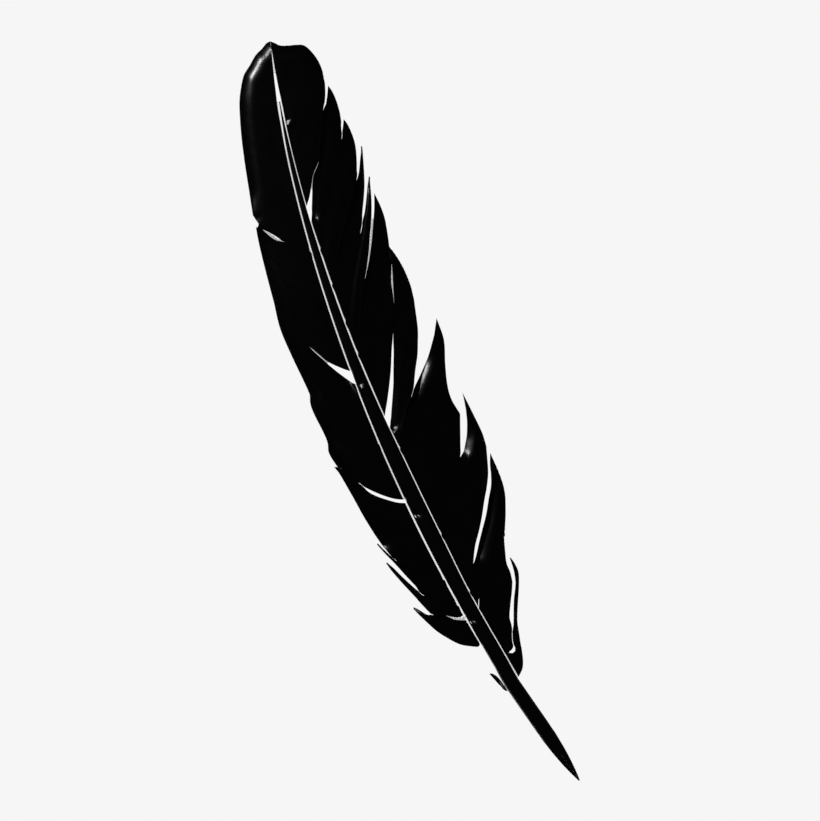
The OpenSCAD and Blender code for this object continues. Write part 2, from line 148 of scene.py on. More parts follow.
INNER_LOCKS = [
    [177.5, 238.5,
     [[3.5, 180.8], [5.3, 185.3], [7, 189.1], [9.8, 193.2], [12.5, 202], [15.2, 211.4],
      [16.6, 214.8], [17.4, 218], [17.9, 221.5]],
     [[17.7, 227], [16.6, 231.2], [14.6, 235], [12.3, 237.5], [9.5, 238.1], [6, 238.3],
      [3.4, 238.8], [1.6, 240]],
     [[0.15, 240.9]], -0.3, []],
    [160.3, 171.5,
     [[6, 169], [12, 181], [17, 191.7], [20, 199.3], [20.6, 203], [21.2, 206]],
     [[21.3, 210], [20.8, 215], [19.9, 218.6]],
     [[2.7, 174.3], [3.6, 177.8], [5.5, 184.5], [7, 188.6], [9.9, 192.9], [12.6, 201.7],
      [15.3, 211], [16.9, 213.9], [17.9, 216.8], [18.9, 220.7]], 0.8, [[193.2, 211.2]]],
    [146.3, 160,
     [[8, 157.2], [15, 169.7], [21.8, 182.4], [23, 186.4], [23.8, 190.2], [24.4, 194]],
     [[24.5, 197.3], [24.1, 201], [23.3, 204.4]],
     [[6, 168.7], [12, 180.7], [17, 191.4], [20, 199], [21.1, 202.6], [22.3, 206.8]], -0.2, [[0, 199]]],
    [131.3, 146,
     [[7, 140.2], [12.5, 151.2], [18.5, 162.6], [20, 166.4], [21.2, 170], [23, 175], [24.5, 180],
      [25.5, 185], [26.3, 190], [26.9, 194.6]],
     [],
     [[8, 156.9], [15, 169.4], [21.9, 182], [22.9, 183.7], [24.1, 186.8], [25.1, 190],
      [26, 192.7], [26.6, 195.1]], 1.1, [[0, 182]]],
    [118.3, 131,
     [[6.5, 126.2], [10.5, 135.7], [14.8, 144.6], [17.5, 150.3], [19.7, 155.3], [21.5, 160.3],
      [23.4, 165.4], [24.8, 170.3], [25.9, 175.3], [26.6, 180], [27.1, 182.2]],
     [],
     [[7, 139.9], [12.5, 150.9], [18.5, 162.3], [20.6, 166.9], [22.2, 170.2], [24.1, 175.2],
      [25.6, 179.5], [26.8, 182.7]], -0.9, [[0, 162]]],
    [93.1, 118,
     [[7.3, 98.2], [10.2, 103.4], [13, 109], [15.7, 115.5], [18.7, 122.6], [22.1, 131.5], [23.8, 140],
      [26.2, 148.2], [26.9, 154.2]],
     [[28.3, 162], [28.5, 166.5], [28.1, 171]],
     [[6.5, 125.9], [10.5, 135.4], [14.8, 144.3], [17.9, 149.9], [20.2, 154.9], [22.2, 159.9],
      [24.05, 165], [24.9, 167.4], [26, 170.8], [27.2, 175.9]], 0.6, [[0, 144.3]]],
    [79.2, 88.5,
     [[8, 85.7], [12, 91.5], [15.9, 95.9], [18.6, 99.6], [21.3, 105], [24, 110], [26, 115],
      [27.8, 120.3], [30, 131]],
     [[30.4, 137], [29.9, 144], [28.6, 150]],
     [[6.5, 92.6], [9.5, 98.6], [12, 104], [13.7, 108.4], [16, 114.3], [18.8, 122.2],
      [22.3, 131.2], [24.5, 140], [26.6, 148], [27.2, 153.9]], -0.4, [[122.5, 131.3], [147.7, 200]]],
    [43.3, 79,
     [[10, 50.7], [17, 59.2], [23.8, 67.2], [25.3, 70.2], [26.9, 73.9], [28.7, 78.2], [30.4, 82.2]],
     [[29.6, 89], [30.3, 95], [32.4, 102.6], [35.3, 112]],
     [[8, 85.4], [12, 91.2], [15.9, 95.5], [18.5, 98.8], [21.3, 101.5], [24.4, 104.6],
      [27.5, 108], [30.6, 112.4], [33.1, 116.2], [35.6, 121.2]], 0.7, [[0, 95.6]]],
    [19.3, 43,
     [[6, 23.5], [9.8, 28.2], [13.5, 33.4], [17.1, 37.4], [20.6, 41.7], [24.4, 47.1], [27.4, 51.2],
      [30.4, 56.1], [32.5, 61.3], [34.3, 66.3]],
     [[35, 72], [34.8, 81]],
     [[10, 50.4], [17, 58.9], [24, 66.8], [25.8, 68.3], [27.6, 70.8], [29.5, 73.7], [31.4, 78],
      [32.9, 82.4], [33.8, 86.2], [34.4, 89.8]], -0.5, [[0, 66.7]]],
    [12.8, 19,
     [[5.5, 16.1], [10, 20.3], [15, 24.4], [20, 28.3], [24.8, 31.8], [28, 36.6], [30.5, 41.2]],
     [[32.5, 45.8], [33.7, 50.7], [34.3, 57]],
     [[6, 23.2], [9.8, 27.7], [12.8, 30.9], [15.7, 34.3], [18.9, 37.9], [22.7, 42.2],
      [26.5, 47.5], [29.3, 51.4], [31, 55], [32.6, 59.2], [34.5, 63.3]], 1.0, [[0, 27.7]]],
    [-7.6, 12.5,
     [[4.2, -7.7], [6.3, -7.2], [7.5, -4.8], [8.8, -2.4], [10.3, 0.2], [11.3, 3.3], [13.8, 6.9],
      [17, 11.2], [19.1, 14.4]],
     [[20.2, 18.2], [20.7, 22], [22.5, 26.4]],
     [[5.5, 15.8], [10, 20], [15, 24.1], [20, 28], [24.6, 31.2]], -0.3, [[15.7, 99]]],
    [-17.5, -7.9,
     [[4.9, -15.9], [6.6, -13.8], [8.4, -10.2], [9.7, -6.9], [11.3, -3.2], [12.8, 0.2],
      [15.2, 4.1], [17.7, 7.8], [20.6, 12.2], [22.7, 16.2], [23.2, 19.5], [23.1, 22.7]],
     [],
     [[4.2, -8.1], [5, -8.6], [6.8, -8.1], [7.5, -5.2], [8.8, -2.7], [11, 0.1], [14, 5],
      [16.4, 8.7], [19.5, 13], [21.2, 16.8], [22.1, 20], [22.7, 23]], 1.4, [[-20, -7, 1.4]]]
]

# ---- curves ----------------------------------------------------------------


def smooth(x):
    x = np.clip(x, 0, 1)
    return x * x * (3 - 2 * x)


def catmull(pts, t):
    """Points on a smooth curve through pts, t from 0 to 1."""
    pts = np.asarray(pts, float)
    last = len(pts) - 1
    u = np.clip(t, 0, 1) * last
    i = np.minimum(np.floor(u).astype(int), last - 1)
    f = (u - i)[:, None]
    b, c = pts[i], pts[i + 1]
    a = np.where((i > 0)[:, None], pts[np.maximum(i - 1, 0)], 2 * b - c)
    d = np.where((i < last - 1)[:, None], pts[np.minimum(i + 2, last)], 2 * c - b)
    return b + 0.5 * f * ((c - a) + f * (2 * a - 5 * b + 4 * c - d + f * (3 * (b - c) + d - a)))


def run_along(pts):
    """How far along a line of points each one lies."""
    return np.r_[0, np.cumsum(np.linalg.norm(np.diff(pts, axis=0), axis=1))]


def even(pts, t):
    """Points on the same curve, at equal shares of its length."""
    fine = catmull(pts, np.linspace(0, 1, 40 * len(pts)))
    run = run_along(fine)
    return np.stack([np.interp(t, run / run[-1], fine[:, k]) for k in range(2)], 1)


def shaft_row(s):
    s = np.asarray(s, float)
    rows = catmull(SHAFT_ROWS, (s.ravel() - SHAFT_START) / (SHAFT_STEP * (len(SHAFT_ROWS) - 1)))
    return rows[:, 0].reshape(s.shape), rows[:, 1].reshape(s.shape)


def root_gap(side, s):
    """The gap beside the shaft: wider where the shaft ends, and a hairline at the tip."""
    if side < 0:
        share = np.interp(s, [0, 12, 58, 66], [0.7, 1.45, 1.45, 1.2])
    else:
        share = np.interp(s, [90, 110, 160, 180], [0.9, 1.3, 1.3, 0.7])
    near_end = np.exp(-((s - 216) / 7) ** 2)
    return (ROOT_GAP * share + 0.3 * near_end) * np.clip((FEATHER_L - s) / 14, 0, 1)


def root_d(side, s):
    centre, half = shaft_row(s)
    return centre + side * (half + root_gap(side, s))


def placed(d, s, y):
    """From the flattened feather (across, along) and depth to the upright frame."""
    a = np.maximum(s, 0) / ARC_R
    x = np.where(s <= 0, d, ARC_R - (ARC_R - d) * np.cos(a)) - SHAFT_ROWS[0][0]
    z = np.where(s <= 0, s, (ARC_R - d) * np.sin(a)) - (SHAFT_FOOT - SEAT_GAP)
    c, n = math.cos(math.radians(SEAT_TURN)), math.sin(math.radians(SEAT_TURN))
    bow = BOW * (np.maximum(s, 0) / FEATHER_L) ** 2
    return np.stack([x * c + z * n, bow + y, BARREL_TOP + z * c - x * n], -1)


# ---- meshes ----------------------------------------------------------------


def make_mesh(name, verts, faces, uvs=None, sharp=50, merge=0):
    """An object from points in mm, faces, and one UV a point."""
    mesh = bpy.data.meshes.new(name)
    mesh.from_pydata([tuple(v) for v in np.asarray(verts) * MM], [], [tuple(f) for f in faces])
    if uvs is not None:
        layer = mesh.uv_layers.new(name="barb")
        corner = np.zeros(len(mesh.loops), dtype=np.int32)
        mesh.loops.foreach_get("vertex_index", corner)
        layer.data.foreach_set("uv", np.asarray(uvs, float)[corner].ravel())
    bm = bmesh.new()
    bm.from_mesh(mesh)
    if merge:
        bmesh.ops.remove_doubles(bm, verts=bm.verts, dist=merge)
    bmesh.ops.recalc_face_normals(bm, faces=bm.faces)
    bm.to_mesh(mesh)
    bm.free()
    mesh.validate()
    mesh.shade_smooth()
    mesh.set_sharp_from_angle(angle=math.radians(sharp))
    obj = bpy.data.objects.new(name, mesh)
    bpy.context.scene.collection.objects.link(obj)
    return obj


def grid_faces(rows, cols, base=0, flip=False):
    i, j = np.meshgrid(np.arange(rows - 1), np.arange(cols - 1), indexing="ij")
    a = (base + i * cols + j).ravel()
    quads = np.stack([a, a + 1, a + cols + 1, a + cols], 1)
    return quads[:, ::-1].tolist() if flip else quads.tolist()


def wall_faces(a, b, flip=False):
    """Quads between two equal runs of point numbers."""
    quads = [[a[k], a[k + 1], b[k + 1], b[k]] for k in range(len(a) - 1)]
    return [q[::-1] for q in quads] if flip else quads


# ---- vane ------------------------------------------------------------------

# Spacing of the barbs, rows of points along each one, and samples of each border
PITCH, ROWS, SAMPLES = 0.6, 46, 300
# The sheet, and how far each barb stands out of it in front and behind, in its widths
SHEET_T, FRONT_RIDGE, REAR_RIDGE = 0.34, 0.025, 0.09
CURL_W, CURL_TURN = 5.6, math.radians(40)
# The widest gap that neighbours may close, and how far each one passes its middle
LAP_GAP, LAP = 1.2, 0.13
# Over what length of its outer edge a lock's curl comes in from its lower and upper corners
RIM_LOW_FADE, RIM_UP_FADE = 14, 9
# Half width of a barb's bare foot, of a fine one, and half its thickness
STEM_W, STEM_FINE, STEM_H = 0.085, 0.05, 0.09
BARBULE_STEP, BARBULE_W, BARBULE_H = 0.24, 0.06, 0.03
# Each lock's share of the noise that tells its barbs apart
NOISE_STEP = 200
# Faces of a box whose corners are listed by end, then side, then depth
BOX_FACES = (
    (0, 1, 3, 2), (4, 6, 7, 5), (0, 4, 5, 1), (2, 3, 7, 6), (0, 2, 6, 4), (1, 5, 7, 3)
)

# Small slanting flakes at the foot of each split: across, along, radius, and how
# steeply each one falls away towards +X and +Z
FLAKES = [
    [0.3, 106.8, 1.7, 0.05, 0.46], [5.4, 86.9, 1.8, -0.12, 0.48], [-1.1, 54, 1.6, 0.9, 0.45],
    [-2.1, 9.3, 1.6, 1.0, 0.55], [2.1, 171.1, 1.8, -0.1, 0.43], [1.5, 209.8, 1.5, -0.1, 0.4]
]

# Locks whose upper barb curls though the split is narrow there: from how far along,
# and where the curl starts and stops easing off towards the lock's tip
CURLS_FROM = {
    "inner_barbs_8": [93.8, 104, 113],
    "inner_barbs_9": [64.6, 72, 81],
    "inner_barbs_10": [26.6, 46, 60]
}
# The narrow splits that fine barbules bridge, from and to how far along
BRIDGED = {
    "outer_barbs_2": [160, 173.4], "outer_barbs_3": [119, 127.5], "outer_barbs_8": [11, 17],
    "inner_barbs_2": [183, 193.5], "inner_barbs_6": [144, 166], "inner_barbs_7": [131, 148]
}


def lock_borders(side, row):
    """The lower barb, outer edge and upper barb of a lock as curve points."""
    s_low, s_up, low, rim, up = row[:5]
    a, b = s_low + BORDER_GAP, s_up - BORDER_GAP
    root_low = [float(root_d(side, np.array(a))), a]
    root_up = [float(root_d(side, np.array(b))), b]
    low = [root_low] + [[p[0], p[1] + BORDER_GAP] for p in low]
    up = [root_up] + [[p[0], p[1] - BORDER_GAP] for p in up]
    return low, [low[-1]] + rim + [up[-1]], up


def border_samples(side, row):
    share = np.linspace(0, 1, SAMPLES)
    return np.concatenate([even(c, share) for c in lock_borders(side, row)])


def curl(x):
    """How far back a free edge has curled at x mm in from it."""
    return -CURL_W / CURL_TURN * np.log(np.cos(CURL_TURN * (1 - x / CURL_W)))


def nearest(pts, line):
    """Distance from each point to a line of points, and where on it the nearest place is."""
    best, where = np.full(len(pts), 1e9), np.zeros(len(pts))
    for k in range(len(line) - 1):
        a, ab = line[k], line[k + 1] - line[k]
        f = np.clip(((pts - a) @ ab) / max(ab @ ab, 1e-12), 0, 1)
        dist = np.hypot(*(pts - a - f[:, None] * ab).T)
        closer = dist < best
        best[closer] = dist[closer]
        where[closer] = k + f[closer]
    return best, where


def patch(side, row, t, v):
    """A lock's points inside its four borders, at shares t out from its root and v up."""
    low, rim, up = lock_borders(side, row)
    low_c, up_c, rim_c = even(low, t), even(up, t), even(rim, v)
    s_root = (row[0] + BORDER_GAP) * (1 - v) + (row[1] - BORDER_GAP) * v
    root = np.stack([root_d(side, s_root), s_root], 1)
    tt, vv = t[:, None, None], v[None, :, None]
    a, b, c, d = root[0], low_c[-1], up_c[-1], root[-1]
    flat = (
        (1 - vv) * low_c[:, None] + vv * up_c[:, None]
        + (1 - tt) * root[None] + tt * rim_c[None]
        - ((1 - vv) * ((1 - tt) * a + tt * b) + vv * ((1 - tt) * d + tt * c))
    )
    return flat, root


def lap_borders(flat, t, side, gap, laps_below, laps_above):
    """Where a border lies against the next lock, moves it so that the two lap each other."""
    cols = flat.shape[1]
    share = np.linspace(0, 1, SAMPLES)
    for first_col, step_in, run_gap, laps in (
            (0, 1, gap[:SAMPLES], laps_below), (cols - 1, -1, gap[-SAMPLES:], laps_above)):
        g = np.interp(t, share, run_gap)
        at = flat[:, first_col, 1]
        closed = np.zeros(ROWS)
        away = np.abs(flat[:, first_col, 0] - root_d(side, at))
        for start, end, *within in laps:
            lapped = smooth((at - start) / 0.8 + 0.5) * smooth((end - at) / 0.8 + 0.5)
            for limit in within:
                lapped = lapped * smooth((limit - away) / 0.8 + 0.5)
            closed = np.maximum(closed, lapped)
        closed *= g < LAP_GAP
        # a split that stays open is a little narrower where it is narrow already
        narrowed = 0.12 * smooth((g - 0.25) / 0.1) * (1 - smooth((g - 0.5) / 0.3))
        reach = closed * (g / 2 + LAP) + (1 - closed) * narrowed
        edge = flat[:, first_col]
        along = np.gradient(edge, axis=0)
        outward = np.stack([along[:, 1], -along[:, 0]], 1)
        outward /= np.linalg.norm(outward, axis=1)[:, None]
        inner = flat[:, first_col + 3 * step_in] - edge
        outward *= -np.sign((outward * inner).sum(1))[:, None]
        # at the outer edge the lap runs along the edge, so that it doesn't stick out
        rim_way = flat[-1, first_col] - flat[-1, first_col + step_in]
        rim_way /= np.linalg.norm(rim_way) + 1e-9
        turn = smooth((t - 0.8) / 0.2)[:, None]
        way = outward * (1 - turn) + rim_way * turn
        reach /= np.maximum((outward * way).sum(1), 0.3)
        moved = min(8, cols // 2)
        for j in range(moved):
            flat[:, first_col + j * step_in] += way * (reach * (1 - j / moved))[:, None]


def free_edges(node, mine, gap, runs_on, at_tip):
    """How freely each sample of a lock's borders curls back, from 0 to 1."""
    free = smooth((gap - 1.0) / 2.2)
    free[:SAMPLES] *= 0.3
    if node in CURLS_FROM:
        start, ease, end = CURLS_FROM[node]
        s = mine[-SAMPLES:, 1]
        free[-SAMPLES:] = smooth((s - start) / 4) * (1 - 0.75 * smooth((s - ease) / (end - ease)))
    if at_tip:
        free[-SAMPLES:] = 0
    run = run_along(mine[SAMPLES:2 * SAMPLES])
    low_end, up_end = (max(joined, corner) for joined, corner in
                       zip(runs_on, (free[SAMPLES - 1], free[-1])))
    up_end = 1 if at_tip else up_end
    free[SAMPLES:2 * SAMPLES] = (
        np.clip(low_end + smooth(run / RIM_LOW_FADE), 0, 1)
        * np.clip(up_end + smooth((run[-1] - run) / RIM_UP_FADE), 0, 1)
    )
    return free


def curled_back(flat, mine, free, rims):
    """How far back each point of a lock is bent by the free edges near it."""
    back = np.zeros(flat.shape[:2])
    ones = np.ones(SAMPLES)
    own = zip(np.split(mine, 3), np.split(free, 3))
    for line, weight in [*own, *((r, ones) for r in rims)]:
        dist, where = nearest(flat.reshape(-1, 2), line)
        value = np.interp(where, np.arange(SAMPLES), weight) * curl(np.minimum(dist, CURL_W))
        back = np.maximum(back, value.reshape(back.shape))
    return back


def stems(side, root, depth):
    """The bare foot of each barb, which joins the sheet to the shaft, as box corners."""
    for k in range(1, len(root), 2):
        d0, s0 = root[k]
        if SHAFT_END < s0 < SHAFT_END + 11:
            continue
        d_in = d0 + side * 0.35
        d_out = d0 - side * (float(root_gap(side, s0)) + 0.45)
        w = STEM_FINE if s0 > 200 or side < 0 and s0 < 60 else STEM_W
        ends = [(d_out, s0 - 0.15), (d_in, s0 + 0.05)]
        yield k / 2, [(d, s + ds, y + depth[k]) for d, s in ends
                      for ds in (-w, w) for y in (-STEM_H, STEM_H)]


def bridges(node, flat, depth, gap, rng):
    """Fine barbules across a narrow split, from the lock's upper barb, as box corners."""
    start, end = BRIDGED[node]
    edge = np.column_stack([flat[:, -1], depth[:, -1]])
    run = run_along(edge[:, :2])
    share = np.linspace(0, 1, SAMPLES)
    for r in np.arange(0.3, run[-1] - 0.3, BARBULE_STEP):
        a, b = (np.array([np.interp(r + step, run, edge[:, k]) for k in range(3)])
                for step in (-BARBULE_W, BARBULE_W))
        if not start < a[1] < end:
            continue
        way = np.array([a[1] - b[1], b[0] - a[0]]) / math.dist(a[:2], b[:2])
        if way @ (flat[20, -4] - flat[20, -1]) > 0:
            way = -way
        reach = np.interp(r / run[-1], share, gap[-SAMPLES:]) * rng.uniform(0.7, 0.95)
        slant = (b - a)[:2] * rng.uniform(0, 2)
        yield flat.shape[1] / 2, [
            (*(p[:2] + way * w + slant * (w > 0)), p[2] + y) for p in (a, b)
            for w in (-0.15, reach) for y in (-BARBULE_H, BARBULE_H)
        ]


def make_lock(name, node, side, row, others, rims, runs_on, laps_below, at_tip, seed):
    rng = np.random.default_rng(seed)
    s_low, s_up, _, _, _, lift, laps_above = row
    barbs = max(5, round((s_up - s_low) / PITCH))
    cols = 2 * barbs + 1
    v = np.linspace(0, 1, cols)
    v[1:-1] += rng.uniform(-0.14, 0.14, cols - 2) / (cols - 1)
    t = 1 - (1 - np.linspace(0, 1, ROWS)) ** 1.5
    flat, root = patch(side, row, t, v)
    mine = border_samples(side, row)
    gap = np.concatenate([np.linalg.norm(part[:, None] - others[None], axis=2).min(1)
                          for part in np.array_split(mine, 6)])
    lap_borders(flat, t, side, gap, laps_below, laps_above)
    back = curled_back(flat, mine, free_edges(node, mine, gap, runs_on, at_tip), rims)

    # the outer edge is toothed: each barb ends a little past the next groove
    is_barb = np.arange(cols) % 2 == 1
    run = flat[-1] - flat[-4]
    run /= np.linalg.norm(run, axis=1)[:, None] + 1e-9
    tooth = np.where(is_barb, 0.08, -0.06) * rng.uniform(0.3, 1.4, cols)
    tooth[[0, -1]] = 0
    reach = smooth((t - 0.9) / 0.1)[:, None]
    flat = flat + (reach * tooth[None])[..., None] * run[None]

    # the sheet droops, lifts, waves and curls back, and is held flat beside the shaft
    out = np.abs(flat[..., 0] - root_d(side, flat[..., 1]))
    held = 1 - smooth((out - 0.2) / (2.5 if side > 0 else 1.2))
    back *= 1 - held * (1 - smooth((flat[..., 1] - SHAFT_END) / 8))
    phase = np.linspace(0, 2.6 + rng.uniform(0, 2), cols) * 2 + rng.uniform(0, 6)
    wave = 0.12 * np.sin(phase)[None]
    step_back = 0.12 if seed % 2 else -0.12
    depth = (DROOP * (out / 25) ** 2 + lift * smooth(out / 18) + back
             + (wave + step_back) * smooth(out / 4))
    mid = placed(flat[..., 0], flat[..., 1], depth)
    du = np.gradient(mid, axis=0)
    dv = np.gradient(mid, axis=1)
    normal = np.cross(dv, du)
    normal /= np.linalg.norm(normal, axis=2)[..., None] + 1e-12
    if normal[..., 1].mean() > 0:
        normal = -normal
    barb_w = np.linalg.norm(dv, axis=2) * 2
    ridge = np.where(is_barb, 1.0, 0.0)[None]
    half = 0.5 * SHEET_T * (1 - 0.6 * reach)
    front = mid + normal * (half + FRONT_RIDGE * barb_w * ridge)[..., None]
    rear = mid - normal * (half + REAR_RIDGE * barb_w * ridge)[..., None]

    n = ROWS * cols
    step = np.linalg.norm(np.diff(mid, axis=0), axis=2)
    along = np.concatenate([np.zeros((1, cols)), np.cumsum(step, axis=0)])
    tone = np.broadcast_to(seed * NOISE_STEP + np.arange(cols) / 2, (ROWS, cols))
    uv = np.stack([tone, along], -1)
    first = np.arange(n).reshape(ROWS, cols)
    faces = grid_faces(ROWS, cols, 0, side > 0) + grid_faces(ROWS, cols, n, side < 0)
    for edge, flip in ((first[:, 0], side > 0), (first[:, -1], side < 0),
                       (first[0], side < 0), (first[-1], side > 0)):
        faces += wall_faces(list(edge), list(edge + n), flip)
    verts = [front.reshape(-1, 3), rear.reshape(-1, 3)]
    uvs = [uv.reshape(-1, 2)] * 2
    boxes = list(stems(side, root, depth[0]))
    if node in BRIDGED:
        boxes += bridges(node, flat, depth, gap, rng)
    for k, (u, corners) in enumerate(boxes):
        verts.append(np.array([placed(*(np.array(c) for c in corner)) for corner in corners]))
        uvs.append(np.array([[seed * NOISE_STEP + u, 0]] * 8))
        faces += [[2 * n + 8 * k + i for i in f] for f in BOX_FACES]
    return make_mesh(name, np.concatenate(verts), faces, np.concatenate(uvs), 60)


# ---- materials -------------------------------------------------------------


def node_material(name, build):
    mat = bpy.data.materials.new(name)
    mat.use_nodes = True
    nodes, links = mat.node_tree.nodes, mat.node_tree.links
    nodes.clear()
    out = nodes.new("ShaderNodeOutputMaterial")
    bsdf = nodes.new("ShaderNodeBsdfPrincipled")
    links.new(bsdf.outputs["BSDF"], out.inputs["Surface"])
    build(nodes, links, bsdf)
    return mat


def math_node(nodes, links, op, a, b=None, c=None):
    node = nodes.new("ShaderNodeMath")
    node.operation = op
    for i, x in enumerate((a, b, c)):
        if x is None:
            continue
        if isinstance(x, (int, float)):
            node.inputs[i].default_value = x
        else:
            links.new(x, node.inputs[i])
    return node.outputs[0]


def to_range(nodes, links, value, lo, hi):
    node = nodes.new("ShaderNodeMapRange")
    links.new(value, node.inputs["Value"])
    node.inputs["To Min"].default_value = lo
    node.inputs["To Max"].default_value = hi
    return node.outputs["Result"]


def grey(nodes, links, value, tint=(1, 1, 1)):
    node = nodes.new("ShaderNodeCombineColor")
    for k in range(3):
        links.new(math_node(nodes, links, "MULTIPLY", value, tint[k]), node.inputs[k])
    return node.outputs[0]


def stretched_noise(nodes, links, u, v, su, sv, detail=3):
    pos = nodes.new("ShaderNodeCombineXYZ")
    links.new(math_node(nodes, links, "MULTIPLY", u, su), pos.inputs[0])
    links.new(math_node(nodes, links, "MULTIPLY", v, sv), pos.inputs[1])
    tex = nodes.new("ShaderNodeTexNoise")
    tex.inputs["Scale"].default_value = 1
    tex.inputs["Detail"].default_value = detail
    links.new(pos.outputs[0], tex.inputs["Vector"])
    return tex.outputs["Fac"]


def uv_parts(nodes, links):
    uv = nodes.new("ShaderNodeUVMap")
    uv.uv_map = "barb"
    sep = nodes.new("ShaderNodeSeparateXYZ")
    links.new(uv.outputs["UV"], sep.inputs[0])
    return sep.outputs[0], sep.outputs[1]


def bump(nodes, links, height, distance, strength=1.0, under=None):
    node = nodes.new("ShaderNodeBump")
    node.inputs["Strength"].default_value = strength
    node.inputs["Distance"].default_value = distance
    links.new(height, node.inputs["Height"])
    if under is not None:
        links.new(under, node.inputs["Normal"])
    return node.outputs["Normal"]


def flake_height(nodes, links):
    """Height in mm of the slanting flakes, from each point's place in the frame."""
    pos = nodes.new("ShaderNodeTexCoord")
    flat = nodes.new("ShaderNodeVectorMath")
    flat.operation = "MULTIPLY"
    flat.inputs[1].default_value = (1000, 0, 1000)
    links.new(pos.outputs["Object"], flat.inputs[0])
    total = 0.0
    for d, s, radius, fall_x, fall_z in FLAKES:
        x, _, z = placed(np.array(d), np.array(s), 0.0)
        away = nodes.new("ShaderNodeVectorMath")
        away.operation = "SUBTRACT"
        away.inputs[1].default_value = (x, 0, z)
        links.new(flat.outputs[0], away.inputs[0])
        slope = nodes.new("ShaderNodeVectorMath")
        slope.operation = "DOT_PRODUCT"
        reach = nodes.new("ShaderNodeVectorMath")
        reach.operation = "DOT_PRODUCT"
        slope.inputs[1].default_value = (-fall_x, 0, -fall_z)
        links.new(away.outputs[0], slope.inputs[0])
        for k in (0, 1):
            links.new(away.outputs[0], reach.inputs[k])
        fade = math_node(nodes, links, "EXPONENT", math_node(
            nodes, links, "MULTIPLY", reach.outputs["Value"], -1 / radius ** 2))
        total = math_node(nodes, links, "MULTIPLY_ADD", slope.outputs["Value"], fade, total)
    # only on the side that the feather shows
    way = nodes.new("ShaderNodeSeparateXYZ")
    links.new(pos.outputs["Normal"], way.inputs[0])
    faces_front = math_node(nodes, links, "LESS_THAN", way.outputs[1], 0.0)
    return math_node(nodes, links, "MULTIPLY", total, faces_front)


def build_barbs(nodes, links, bsdf):
    u, v = uv_parts(nodes, links)
    # one tone for each barb, broken up by slow patches of wear along it
    white = nodes.new("ShaderNodeTexWhiteNoise")
    white.noise_dimensions = "1D"
    links.new(math_node(nodes, links, "FLOOR", u), white.inputs["W"])
    patches = stretched_noise(nodes, links, u, v, 0.05, 0.12)
    tone = math_node(nodes, links, "MULTIPLY_ADD", white.outputs["Value"], 0.5, patches)
    links.new(grey(nodes, links, to_range(nodes, links, tone, 0.0008, 0.0024), (1, 1, 1.06)),
              bsdf.inputs["Base Color"])
    links.new(to_range(nodes, links, tone, 0.17, 0.225), bsdf.inputs["Roughness"])
    # each barb is rounded, and its barbules slant away from it on both sides
    across = math_node(nodes, links, "FRACT", u)
    from_mid = math_node(nodes, links, "ABSOLUTE", math_node(nodes, links, "SUBTRACT", across, 0.5))
    ridge = math_node(nodes, links, "SUBTRACT", 1.0, math_node(nodes, links, "POWER", math_node(
        nodes, links, "MULTIPLY", from_mid, 2.0), 2.0))
    slant = math_node(nodes, links, "ADD", v, math_node(nodes, links, "MULTIPLY", from_mid, -0.9))
    barbule = math_node(nodes, links, "SINE", math_node(nodes, links, "MULTIPLY", slant, 34.0))
    rough = bump(nodes, links, barbule, 0.000001, 1.0)
    lumps = bump(nodes, links, flake_height(nodes, links), 0.001, 1.0, rough)
    links.new(bump(nodes, links, ridge, 0.000008, 1.0, lumps), bsdf.inputs["Normal"])
    bsdf.inputs["IOR"].default_value = 1.54


def build_horn(nodes, links, bsdf):
    u, v = uv_parts(nodes, links)
    grain = stretched_noise(nodes, links, u, v, 5.0, 0.09, 4)
    patches = stretched_noise(nodes, links, u, v, 0.4, 0.12, 3)
    scrapes = stretched_noise(nodes, links, u, v, 14.0, 0.5, 2)
    tone = math_node(nodes, links, "MULTIPLY_ADD", grain, 0.5, math_node(
        nodes, links, "MULTIPLY", patches, 0.5))
    links.new(grey(nodes, links, to_range(nodes, links, tone, 0.0012, 0.0045), (1.05, 1, 0.96)),
              bsdf.inputs["Base Color"])
    links.new(to_range(nodes, links, tone, 0.19, 0.28), bsdf.inputs["Roughness"])
    fine = bump(nodes, links, scrapes, 0.000002, 1.0)
    lumps = bump(nodes, links, flake_height(nodes, links), 0.001, 1.0, fine)
    links.new(bump(nodes, links, grain, 0.000012, 1.0, lumps), bsdf.inputs["Normal"])
    bsdf.inputs["IOR"].default_value = 1.55
    bsdf.inputs["Coat Weight"].default_value = 0.25
    bsdf.inputs["Coat Roughness"].default_value = 0.22


def build_pith(nodes, links, bsdf):
    pos = nodes.new("ShaderNodeTexCoord")
    cells = nodes.new("ShaderNodeTexVoronoi")
    cells.inputs["Scale"].default_value = 4000
    links.new(pos.outputs["Object"], cells.inputs["Vector"])
    cloud = nodes.new("ShaderNodeTexNoise")
    cloud.inputs["Scale"].default_value = 500
    links.new(pos.outputs["Object"], cloud.inputs["Vector"])
    tone = math_node(nodes, links, "MULTIPLY_ADD", cells.outputs["Distance"], 0.3, cloud.outputs["Fac"])
    links.new(grey(nodes, links, to_range(nodes, links, tone, 0.66, 0.88), (1, 0.96, 0.86)),
              bsdf.inputs["Base Color"])
    links.new(to_range(nodes, links, tone, 0.95, 0.8), bsdf.inputs["Roughness"])
    links.new(bump(nodes, links, cells.outputs["Distance"], 0.00008, 1.0), bsdf.inputs["Normal"])


barbs_mat = node_material("barbs", build_barbs)
horn_mat = node_material("horn", build_horn)
pith_mat = node_material("pith", build_pith)

# ---- locks of barbs --------------------------------------------------------


def finish_piece(obj, body, mat, slot_name, *nodes):
    obj.data.materials.clear()
    obj.data.materials.append(mat)
    if nodes:
        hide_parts(*nodes)
    if body:
        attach(obj, body)


